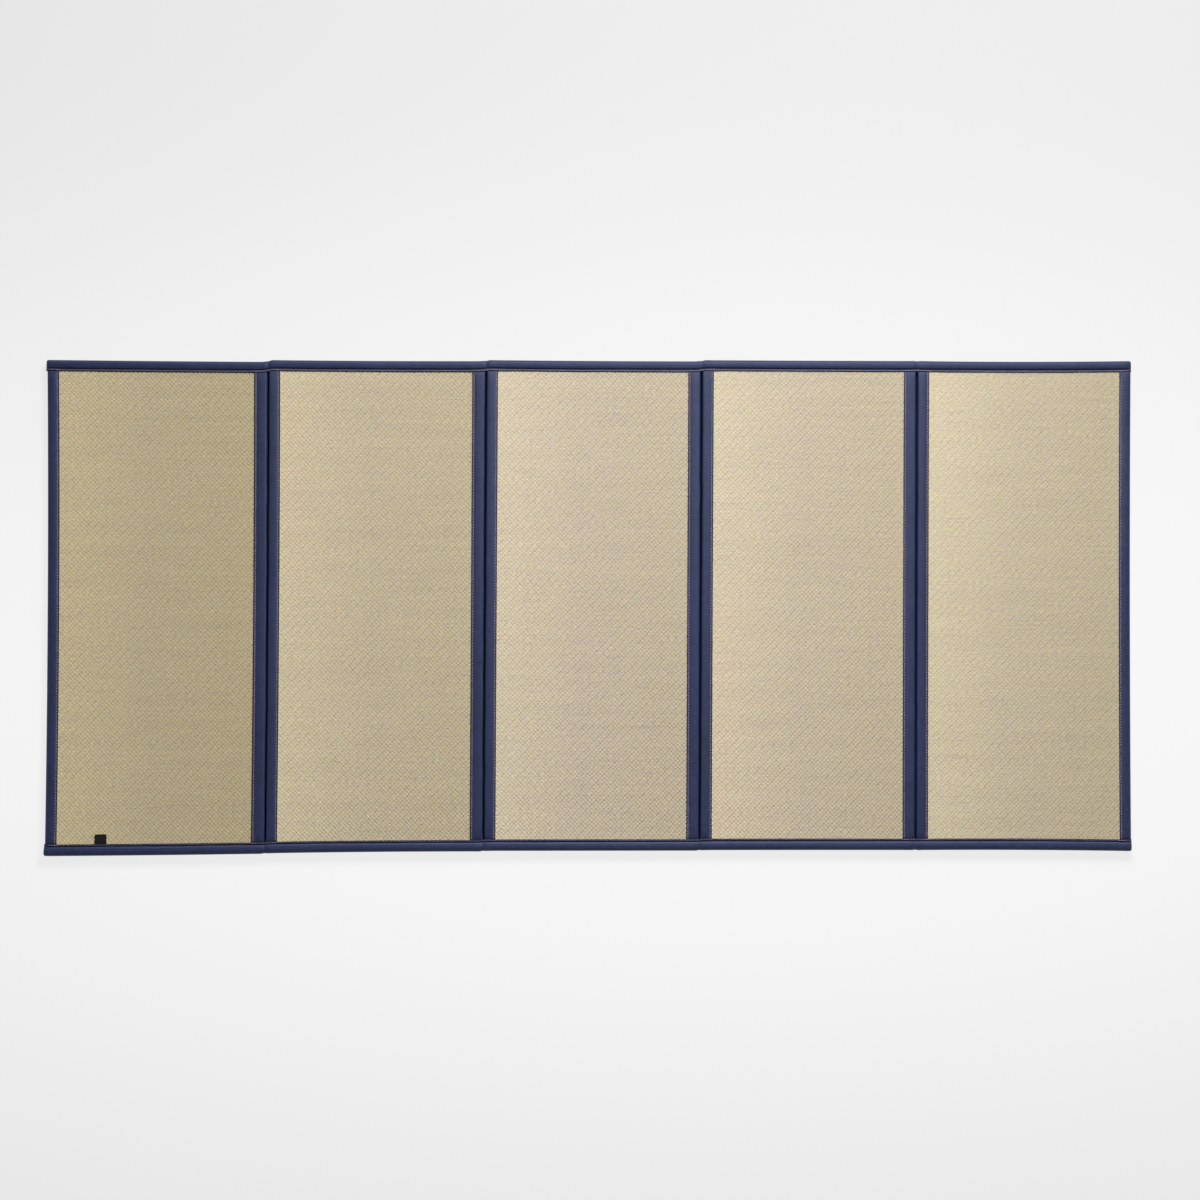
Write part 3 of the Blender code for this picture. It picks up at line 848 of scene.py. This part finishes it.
def close_pad(mesh, low, high, number):
    """Carry the woven face down the pad's sides and over its flat underside."""
    left_width = binding_width(number, 1)
    right_width = binding_width(number + 1, -1)
    bm = bmesh.new()
    bm.from_mesh(mesh)
    ring = [edge for edge in bm.edges if edge.is_boundary]
    for vert in {vert for edge in ring for vert in edge.verts}:
        for axis in (0, 1):
            for side in (low[axis], high[axis]):
                if abs(vert.co[axis] - side) < MM:
                    vert.co[axis] = side
    old_low, old_high = low, high
    for index, (from_binding, inset, long_inset, height) in enumerate(PAD_RINGS):
        left = inset + left_width if from_binding else inset
        right = inset + right_width if from_binding else inset
        new_low = (seam_x(number) + left, long_inset - MAT_WIDTH / 2.0)
        new_high = (seam_x(number + 1) - right, MAT_WIDTH / 2.0 - long_inset)
        made = bmesh.ops.extrude_edge_only(bm, edges=ring)["geom"]
        verts = [item for item in made if isinstance(item, bmesh.types.BMVert)]
        for vert in verts:
            for axis in (0, 1):
                part = (vert.co[axis] - old_low[axis]) / (old_high[axis] - old_low[axis])
                vert.co[axis] = new_low[axis] + (new_high[axis] - new_low[axis]) * part
            vert.co.z = height
        if index == 0:
            verts = thin_ring(bm, verts, new_low, new_high)
        wanted = set(verts)
        ring = [
            edge for edge in bm.edges
            if edge.is_boundary and edge.verts[0] in wanted and edge.verts[1] in wanted
        ]
        old_low, old_high = new_low, new_high
    bmesh.ops.edgeloop_fill(bm, edges=ring)
    bmesh.ops.recalc_face_normals(bm, faces=bm.faces[:])
    bm.to_mesh(mesh)
    bm.free()


def lay_mesh(mesh):
    """Move a mesh's points to where they really lie."""
    for vert in mesh.vertices:
        vert.co.x, vert.co.y = lay_out(vert.co.x, vert.co.y)


class TATAMI_OT_rush_panels(bpy.types.Operator):
    """Make the five pads, faced with woven rush"""

    bl_idname = "tatami.rush_panels"
    bl_label = "Rush panels"

    def execute(self, context):
        sizes = context.scene.tatami_sizes
        rush = rush_material(sizes, context.scene.tatami_colours)
        tree = weave_tree()
        step_x = sizes.float_length / 4.0
        step_y = sizes.row_height / 2.0
        for number in range(PANEL_COUNT):
            left = seam_x(number) + binding_width(number, 1) - FACE_HIDDEN
            right = seam_x(number + 1) - binding_width(number + 1, -1) + FACE_HIDDEN
            reach = MAT_WIDTH / 2.0 - LONG_BINDING_WIDTH + FACE_HIDDEN
            first_x, last_x = math.floor(left / step_x), math.ceil(right / step_x)
            last_y = math.ceil(reach / step_y)
            low = (first_x * step_x, -last_y * step_y)
            high = (last_x * step_x, last_y * step_y)
            source = new_object("weave", bpy.data.meshes.new("weave"))
            weave = source.modifiers.new("rush weave", "NODES")
            weave.node_group = tree
            set_inputs(weave, {
                "Width": high[0] - low[0],
                "Length": high[1] - low[1],
                "Columns": last_x - first_x + 1,
                "Rows": 2 * last_y + 1,
                "Centre": ((low[0] + high[0]) / 2.0, 0.0, WEAVE_MEAN_HEIGHT),
                "Float length": sizes.float_length,
                "Row height": sizes.row_height,
                "Relief": sizes.weave_relief[number],
                "Deep dips": DEEP_DIPS,
                "Between rows": BETWEEN_ROWS,
                "Unevenness": FACE_UNEVENNESS,
                "Seed": number + 1,
                "Rush": rush,
            })
            mesh = evaluated_mesh(source)
            press_face(mesh, low, high)
            close_pad(mesh, low, high, number)
            lay_mesh(mesh)
            panel = link_piece(f"rush_panel_{number + 1}", mesh, rush)
            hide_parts(f"panel_{number + 1}")
            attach(panel, BODY)
        return {"FINISHED"}


def arc(centre, radius, first_degrees, last_degrees, steps):
    """Points (inset, height) along an arc. 90 degrees is up and 180 is outwards."""
    points = []
    for step in range(steps + 1):
        angle = math.radians(first_degrees + (last_degrees - first_degrees) * step / steps)
        points.append((
            centre[0] + radius * math.cos(angle),
            centre[1] + radius * math.sin(angle),
        ))
    return points


def long_section():
    """Outer face of a long binding: stitched flange, ditch, full roll, and the flat below."""
    section = [(20.3, 18.15), (19.6, 18.4), (18.6, 18.15), (17.6, 18.3), (16.9, 17.9)]
    section += [(16.2, 16.4), (15.6, 15.9)]
    section += arc((11.9, 16.4), 3.5, 20, 75, 3)
    section += arc((6.6, 13.4), 6.6, 90, 180, 7)
    section += arc((7.0, 7.0), 7.0, 180, 270, 3)
    section.append((20.3, 0.0))
    return [(inset * MM, height * MM) for inset, height in section]


def band_section(width, at_fold):
    """Outer face of an end or fold binding: lifted edge, stitched dip, soft crown, side.
    An end's side is a full roll. At a fold the two sides lean apart to a dark groove."""
    inner = width / MM
    section = [(inner, 18.3), (inner - 1.0, 18.5), (inner - 2.0, 18.25), (inner - 3.1, 17.75)]
    section += [(inner - 4.3, 18.3), (inner - 6.2, 18.85), (inner - 10.5, 19.2)]
    if at_fold:
        section += arc((5.4, 15.4), 3.8, 90, 180, 6)
        section += [(1.1, 12.0), (0.4, 8.5), (0.0, 6.0)]
        section += arc((4.0, 4.0), 4.0, 180, 270, 3)
    else:
        section += arc((6.5, 12.8), 6.5, 90, 180, 6)
        section += arc((6.5, 6.5), 6.5, 180, 270, 3)
    section.append((inner, 0.0))
    return [(inset * MM, height * MM) for inset, height in section]


def grid_faces(rows, across):
    """Faces between rows of points, each row with this many points across."""
    faces = []
    for row in range(rows - 1):
        for column in range(across - 1):
            first = row * across + column
            faces.append((first, first + 1, first + across + 1, first + across))
    return faces


def cloth_piece(name, rows, section, lengths, material, closed_ends=False):
    """A folded strip of cloth through rows of points, with its thickness turned inwards.
    Its UV map is in metres: U along the strip and V in from its edge on the rush."""
    reach = [0.0]
    for point, following in zip(section, section[1:]):
        reach.append(reach[-1] + math.dist(point, following))
    across = len(section)
    faces = grid_faces(len(rows), across)
    if closed_ends:
        last = (len(rows) - 1) * across
        faces.append(tuple(range(across - 1, -1, -1)))
        faces.append(tuple(range(last, last + across)))
    mesh = bpy.data.meshes.new("open_cloth")
    mesh.from_pydata([point for row in rows for point in row], [], faces)
    cloth = mesh.uv_layers.new(name="cloth")
    for loop in mesh.loops:
        row, column = divmod(loop.vertex_index, across)
        cloth.data[loop.index].uv = (lengths[row], reach[column])
    mesh.update()
    crown = max(mesh.polygons, key=lambda face: face.center.z)
    if crown.normal.z < 0.0:
        mesh.flip_normals()
    for face in mesh.polygons:
        face.use_smooth = True
    source = new_object("open_cloth", mesh)
    thickness = source.modifiers.new("cloth thickness", "SOLIDIFY")
    thickness.thickness = CLOTH
    thickness.offset = -1.0
    thickness.use_even_offset = True
    return link_piece(name, evaluated_mesh(source), material)


def finish_cloth(piece, node):
    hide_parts(node)
    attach(piece, BODY)


def stations(first, last, spacing, extra=()):
    """Places from first to last at about this spacing, with the extra ones among them."""
    count = max(1, round((last - first) / spacing))
    wanted = {round(place, 6) for place in (first, last, *extra)}
    even = {round(first + (last - first) * step / count, 6) for step in range(count + 1)}
    clear = {
        place for place in even
        if all(abs(place - other) > spacing / 4.0 for other in wanted)
    }
    return sorted(wanted | clear)


def flange_lift(x):
    """How far a long binding's flange is raised where it lies over the short bindings."""
    lift = 0.0
    for seam in range(PANEL_COUNT + 1):
        side = 1 if x > seam_x(seam) else -1
        past = abs(x - seam_x(seam)) - binding_width(seam, side)
        lift = max(lift, smooth_step(-past / FLANGE_LIFT_REACH + 0.5))
    return FLANGE_LIFT * lift


def long_binding_rows(side):
    """Rows of points along a long binding, with its puckers and its rounded ends."""
    end = MAT_LENGTH / 2.0 + LONG_BINDING_OVERHANG
    extra = []
    for degrees in (0, 15, 30, 45, 60, 75, 90):
        from_end = END_ROLL_RADIUS * (1.0 - math.cos(math.radians(degrees)))
        extra += [from_end - end, end - from_end]
    for fold in range(1, PANEL_COUNT):
        for place in FOLD_ROWS:
            extra.append(seam_x(fold) + place * MM)
    places = stations(-end, end, BINDING_ROW_SPACING, extra)
    section = long_section()
    rows = []
    for x in places:
        from_end = end - abs(x)
        part = clamp(1.0 - from_end / CORNER_RADIUS, 0.0, 1.0)
        drawn_in = CORNER_RADIUS * (1.0 - math.sqrt(1.0 - part * part))
        near_end = smooth_step(1.0 - from_end / END_BULGE_REACH)
        mat_end = 1 if x > 0.0 else -1
        at_roll, at_flange = END_STANDS_OUT[side, mat_end]
        rolled = clamp(1.0 - from_end / END_ROLL_RADIUS, 0.0, 1.0)
        half_height = HALF_THICKNESS - END_ROLL_RADIUS * (1.0 - math.sqrt(1.0 - rolled * rolled))
        pinch = half_height / HALF_THICKNESS
        lift = flange_lift(x)
        fullness = unevenness(x, LONG_FULLNESS, side)
        width_change = unevenness(x, LONG_WIDTH_CHANGE, side)
        pucker = 0.0
        for fold in range(1, PANEL_COUNT):
            past = x - seam_x(fold) - PUCKER_OFF_FOLD * side
            pucker -= PUCKER_DEPTH * bump_at(past, PUCKER_HALF_WIDTH)
            pucker += PUCKER_RISE * bump_at(abs(past) - PUCKER_RISE_AT, PUCKER_RISE_HALF_WIDTH)
        row = []
        for inset, height in section:
            on_roll = smooth_step((height - CROWN_LOW) / (7.0 * MM)) * (inset < DITCH_INSET)
            if inset > DITCH_INSET and height > HALF_THICKNESS:
                height += lift
            height += (fullness + pucker) * on_roll
            if inset < 17.0 * MM and height > 14.0 * MM:
                inset += width_change * smooth_step(inset / (6.0 * MM))
            inset -= 0.5 * pucker * (1.0 - smooth_step(inset / (7.0 * MM)))
            inset = max(inset, drawn_in)
            if side < 0:
                inset -= FRONT_FULLNESS * (1.0 - smooth_step(inset / (14.0 * MM)))
            height = HALF_THICKNESS + (height - HALF_THICKNESS) * pinch
            on_flange = smooth_step((inset - 7.0 * MM) / (12.0 * MM))
            stands_out = MM * (at_roll + (at_flange - at_roll) * on_flange)
            x_bulged = x + mat_end * (stands_out - LONG_BINDING_OVERHANG) * near_end
            y = side * (MAT_WIDTH / 2.0 - inset)
            row.append((*lay_out(x_bulged, y), height))
        rows.append(row)
    return rows, section, places


class TATAMI_OT_long_bindings(bpy.types.Operator):
    """Make the two bindings that run over the long edges of all five panels"""

    bl_idname = "tatami.long_bindings"
    bl_label = "Long bindings"

    def execute(self, context):
        navy = navy_cloth(context)
        for name, side in (("back", 1), ("front", -1)):
            rows, section, places = long_binding_rows(side)
            piece = cloth_piece(f"long_binding_{name}", rows, section, places, navy, True)
            finish_cloth(piece, f"binding_{name}")
        return {"FINISHED"}


def tucked(height, edge_distance):
    """Press a short binding's height down, or up from below, where it runs under a long one."""
    share = clamp((edge_distance - TUCK_LOW) / (TUCK_HIGH - TUCK_LOW), 0.0, 1.0)
    bottom = TUCK_UNDERSIDE * (1.0 - share)
    top = BINDING_CROWN
    for row, following in zip(TUCK_TOPS, TUCK_TOPS[1:]):
        if edge_distance <= following[0]:
            part = clamp((edge_distance - row[0]) / (following[0] - row[0]), 0.0, 1.0)
            top = row[1] + (following[1] - row[1]) * part
            break
    return clamp(height, bottom, top)


def groove_bend(seam, y):
    """How far the groove of a fold bends to the right at y."""
    back, front = GROOVE_BEND.get(seam, (0.0, 0.0))
    near_back = smooth_step(1.0 - (MAT_WIDTH / 2.0 - y) / GROOVE_BEND_REACH)
    near_front = smooth_step(1.0 - (MAT_WIDTH / 2.0 + y) / GROOVE_BEND_REACH)
    return MM * (back * near_back + front * near_front)


def band_rows(seam, side, width):
    """Rows of points along an end or fold binding."""
    gap = FOLD_GAP / 2.0 if 0 < seam < PANEL_COUNT else 0.0
    half = MAT_WIDTH / 2.0
    extra = []
    for inset, _ in TUCK_TOPS[1:]:
        extra += [half - inset, inset - half]
    places = stations(TUCK_END - half, half - TUCK_END, BINDING_ROW_SPACING, extra)
    section = band_section(width, 0 < seam < PANEL_COUNT)
    rows = []
    for y in places:
        fullness = unevenness(y, SHORT_FULLNESS, 3 * seam + side)
        sway = unevenness(y, GROOVE_SWAY, seam) + groove_bend(seam, y)
        row = []
        for inset, height in section:
            on_crown = smooth_step((height - CROWN_LOW) / (6.0 * MM)) * (inset < width - 4.5 * MM)
            height += fullness * on_crown
            lean = sway * (1.0 - smooth_step(inset / (12.0 * MM)))
            x = seam_x(seam) + side * (inset + gap) + (lean if 0 < seam < PANEL_COUNT else 0.0)
            row.append((*lay_out(x, y), tucked(height, half - abs(y))))
        rows.append(row)
    return rows, section, places


class TATAMI_OT_short_bindings(bpy.types.Operator):
    """Make the bindings over the two ends and over both sides of each fold"""

    bl_idname = "tatami.short_bindings"
    bl_label = "End and fold bindings"

    def execute(self, context):
        navy = navy_cloth(context)
        bands = [("end_left", 0, 1), ("end_right", PANEL_COUNT, -1)]
        for fold in range(1, PANEL_COUNT):
            bands.append((f"fold_{fold}_left", fold, -1))
            bands.append((f"fold_{fold}_right", fold, 1))
        for name, seam, side in bands:
            rows, section, places = band_rows(seam, side, binding_width(seam, side))
            piece = cloth_piece(f"short_binding_{name}", rows, section, places, navy)
            finish_cloth(piece, f"binding_{name}")
        return {"FINISHED"}


def stitch_tree():
    """Stitches along curves: one short arched thread at each pitch, turned along its row."""
    tree, given = new_tree("stitch_rows", (
        ("Geometry", "Geometry"),
        ("Float", "Pitch", "Stitch length", "Thickness"),
        ("Int", "Seed"),
        ("Material", "Thread"),
    ))
    give = given.outputs
    points = add_node(tree, "GeometryNodeCurveToPoints", {"mode": "LENGTH"}, {
        "Curve": give["Geometry"], "Length": give["Pitch"],
    })
    part = {}
    for name, size, share in (
        ("ahead", "Stitch length", 0.5),
        ("behind", "Stitch length", -0.5),
        ("sunk", "Thickness", -0.55),
        ("raised", "Thickness", 0.75),
        ("radius", "Thickness", 0.5),
    ):
        part[name] = add_node(
            tree, "ShaderNodeMath", {"operation": "MULTIPLY"}, {0: give[size], 1: share},
        )
    start = add_node(tree, "ShaderNodeCombineXYZ", inputs={"X": part["behind"], "Z": part["sunk"]})
    crown = add_node(tree, "ShaderNodeCombineXYZ", inputs={"Z": part["raised"]})
    end = add_node(tree, "ShaderNodeCombineXYZ", inputs={"X": part["ahead"], "Z": part["sunk"]})
    path = add_node(tree, "GeometryNodeCurveQuadraticBezier", inputs={
        "Resolution": 3, "Start": start, "Middle": crown,
        "End": end,
    })
    round_thread = add_node(tree, "GeometryNodeCurvePrimitiveCircle", {"mode": "RADIUS"}, {
        "Resolution": 4, "Radius": part["radius"],
    })
    thread = add_node(tree, "GeometryNodeCurveToMesh", inputs={
        "Curve": path, "Profile Curve": round_thread, "Fill Caps": True,
    })
    smooth = add_node(tree, "GeometryNodeSetShadeSmooth", inputs={
        "Geometry": thread, "Shade Smooth": True,
    })
    along = add_node(
        tree, "FunctionNodeAlignRotationToVector", {"axis": "X", "pivot_axis": "Z"},
        {"Vector": points.outputs["Tangent"]},
    )
    chance = add_node(tree, "FunctionNodeRandomValue", {"data_type": "FLOAT"}, {
        2: 0.85, 3: 1.15, "Seed": give["Seed"],
    })
    stitches = add_node(tree, "GeometryNodeInstanceOnPoints", inputs={
        "Points": points.outputs["Points"], "Instance": smooth,
        "Rotation": along, "Scale": chance.outputs[1],
    })
    end_tree(tree, stitches, give["Thread"])
    return tree


def stitch_lines():
    """Every row of stitches, as the points that it runs through."""
    lines = []
    end = MAT_LENGTH / 2.0 - LONG_STITCH_END
    for side in (1, -1):
        y = side * (MAT_WIDTH / 2.0 - LONG_STITCH_INSET)
        lines.append([
            (*lay_out(x, y), LONG_STITCH_HEIGHT + flange_lift(x))
            for x in stations(-end, end, LONG_STITCH_STEP)
        ])
    end = MAT_WIDTH / 2.0 - SHORT_STITCH_END
    for seam in range(PANEL_COUNT + 1):
        for side in (-1, 1):
            if 0 <= seam + side <= PANEL_COUNT:
                x = seam_x(seam) + side * (binding_width(seam, side) - SHORT_STITCH_INSET)
                lines.append([
                    (*lay_out(x, y), SHORT_STITCH_HEIGHT)
                    for y in stations(-end, end, SHORT_STITCH_STEP)
                ])
    return lines


class TATAMI_OT_stitching(bpy.types.Operator):
    """Sew a row of stitches along every binding"""

    bl_idname = "tatami.stitching"
    bl_label = "Stitching"

    def execute(self, context):
        sizes = context.scene.tatami_sizes
        thread = thread_material(context.scene.tatami_colours)
        rows = bpy.data.curves.new("stitch_rows", "CURVE")
        rows.dimensions = "3D"
        for line in stitch_lines():
            spline = rows.splines.new("POLY")
            spline.points.add(len(line) - 1)
            for point, place in zip(spline.points, line):
                point.co = (*place, 1.0)
        source = new_object("stitch_rows", rows)
        sewing = source.modifiers.new("stitches", "NODES")
        sewing.node_group = stitch_tree()
        set_inputs(sewing, {
            "Pitch": sizes.stitch_pitch,
            "Stitch length": sizes.stitch_length,
            "Thickness": sizes.thread_thickness,
            "Seed": STITCH_SEED,
            "Thread": thread,
        })
        piece = link_piece("stitching", evaluated_mesh(source), thread)
        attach(piece, BODY)
        return {"FINISHED"}


class TATAMI_OT_label(bpy.types.Operator):
    """Make the bare woven label, sewn in at the front binding"""

    bl_idname = "tatami.label"
    bl_label = "Label"

    def execute(self, context):
        ribbon = label_material(context.scene.tatami_colours)
        verts = []
        for row in range(LABEL_PARTS + 1):
            out = row / LABEL_PARTS
            for column in range(LABEL_PARTS + 1):
                over = column / LABEL_PARTS
                x = LABEL_LEFT + LABEL_WIDTH * over - MAT_LENGTH / 2.0
                y = LABEL_NEAR + (LABEL_FAR - LABEL_NEAR) * out - MAT_WIDTH / 2.0
                rise = LABEL_CURL * out * out * (0.6 + 0.8 * (2.0 * over - 1.0) ** 2)
                sink = LABEL_SINK * bump_at(out, 0.12)
                verts.append((*lay_out(x, y), RUSH_HEIGHT + LABEL_LIFT + rise - sink))
        mesh = bpy.data.meshes.new("open_label")
        mesh.from_pydata(verts, [], grid_faces(LABEL_PARTS + 1, LABEL_PARTS + 1))
        for face in mesh.polygons:
            face.use_smooth = True
        source = new_object("open_label", mesh)
        thickness = source.modifiers.new("two layers of ribbon", "SOLIDIFY")
        thickness.thickness = LABEL_THICKNESS
        thickness.offset = -1.0
        rounding = source.modifiers.new("soft edges", "BEVEL")
        rounding.width = 0.25 * MM
        rounding.segments = 2
        piece = link_piece("bare_label", evaluated_mesh(source), ribbon)
        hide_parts("label")
        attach(piece, BODY)
        return {"FINISHED"}


def soft_light(name, place, aim, sides, power):
    """A softbox that faces a given point. Its light doesn't weaken with distance, as from a
    lamp that stands much further away."""
    lamp = bpy.data.lights.new(name, "AREA")
    lamp.shape = "RECTANGLE"
    lamp.size, lamp.size_y = sides
    lamp.energy = power
    lamp.use_nodes = True
    tree = lamp.node_tree
    tree.nodes.clear()
    falloff = add_node(tree, "ShaderNodeLightFalloff", inputs={"Strength": 1.0})
    glow = add_node(tree, "ShaderNodeEmission", inputs={"Strength": falloff.outputs["Constant"]})
    add_node(tree, "ShaderNodeOutputLight", inputs={"Surface": glow})
    light = new_object(name, lamp)
    light.location = place
    light.rotation_euler = (Vector(aim) - Vector(place)).to_track_quat("-Z", "Y").to_euler()


def studio_world():
    """Pale studio walls low down and a dim ceiling, as a weak even light from all sides."""
    world = bpy.data.worlds.new("studio")
    world.use_nodes = True
    tree = world.node_tree
    tree.nodes.clear()
    direction = add_node(tree, "ShaderNodeTexCoord").outputs["Generated"]
    split = add_node(tree, "ShaderNodeSeparateXYZ", inputs={0: direction})
    strength = add_node(
        tree, "ShaderNodeMapRange", {"interpolation_type": "SMOOTHSTEP"}, {
            "Value": split.outputs["Z"], "From Min": 0.20, "From Max": 0.50,
            "To Min": WALL_LIGHT, "To Max": CEILING_LIGHT,
        },
    )
    sky = add_node(
        tree, "ShaderNodeBackground",
        inputs={"Color": (1.0, 1.0, 1.0, 1.0), "Strength": strength},
    )
    add_node(tree, "ShaderNodeOutputWorld", inputs={"Surface": sky})
    return world


class TATAMI_OT_stage(bpy.types.Operator):
    """Set the pale floor, the soft studio light and the camera"""

    bl_idname = "tatami.stage"
    bl_label = "Stage"

    def execute(self, context):
        scene = context.scene
        mesh = bpy.data.meshes.new("floor")
        bm = bmesh.new()
        bmesh.ops.create_grid(bm, x_segments=8, y_segments=8, size=FLOOR_HALF_SIZE)
        bm.to_mesh(mesh)
        bm.free()
        floor = link_piece("floor", mesh, floor_material(scene.tatami_colours))

        scene.world = studio_world()
        soft_light("softbox", SOFTBOX_PLACE, SOFTBOX_AIM, SOFTBOX_SIZE, SOFTBOX_POWER)

        lens = bpy.data.cameras.new("camera")
        lens.sensor_width = SENSOR
        lens.lens = FOCAL_PIXELS / PHOTO_PIXELS * SENSOR
        lens.clip_end = 50.0
        camera = new_object("camera", lens)
        camera.location = CAMERA_PLACE
        turn = [math.radians(degrees) for degrees in CAMERA_TURN_DEGREES]
        camera.rotation_euler = Euler(turn, "XYZ")
        scene.camera = camera
        scene.view_settings.view_transform = "Standard"
        return {"FINISHED"}


class TATAMI_PT_pieces(bpy.types.Panel):
    """Lists the pieces of the mat in the sidebar"""

    bl_idname = "TATAMI_PT_pieces"
    bl_label = "Folding tatami mat"
    bl_space_type = "VIEW_3D"
    bl_region_type = "UI"
    bl_category = "Tatami"

    def draw(self, context):
        for operator in OPERATORS:
            self.layout.operator(operator.bl_idname)
        for group in (context.scene.tatami_sizes, context.scene.tatami_colours):
            for name in group.__annotations__:
                self.layout.prop(group, name)


OPERATORS = (
    TATAMI_OT_rush_panels,
    TATAMI_OT_long_bindings,
    TATAMI_OT_short_bindings,
    TATAMI_OT_stitching,
    TATAMI_OT_label,
    TATAMI_OT_stage,
)
CLASSES = (TatamiSizes, TatamiColours, *OPERATORS, TATAMI_PT_pieces)


def register():
    for kind in CLASSES:
        bpy.utils.register_class(kind)
    bpy.types.Scene.tatami_sizes = bpy.props.PointerProperty(type=TatamiSizes)
    bpy.types.Scene.tatami_colours = bpy.props.PointerProperty(type=TatamiColours)


def unregister():
    del bpy.types.Scene.tatami_colours
    del bpy.types.Scene.tatami_sizes
    for kind in reversed(CLASSES):
        bpy.utils.unregister_class(kind)


def main():
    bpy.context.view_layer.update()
    register()
    bpy.ops.tatami.rush_panels()
    bpy.ops.tatami.long_bindings()
    bpy.ops.tatami.short_bindings()
    bpy.ops.tatami.stitching()
    bpy.ops.tatami.label()
    bpy.ops.tatami.stage()


if __name__ == "__main__":
    main()
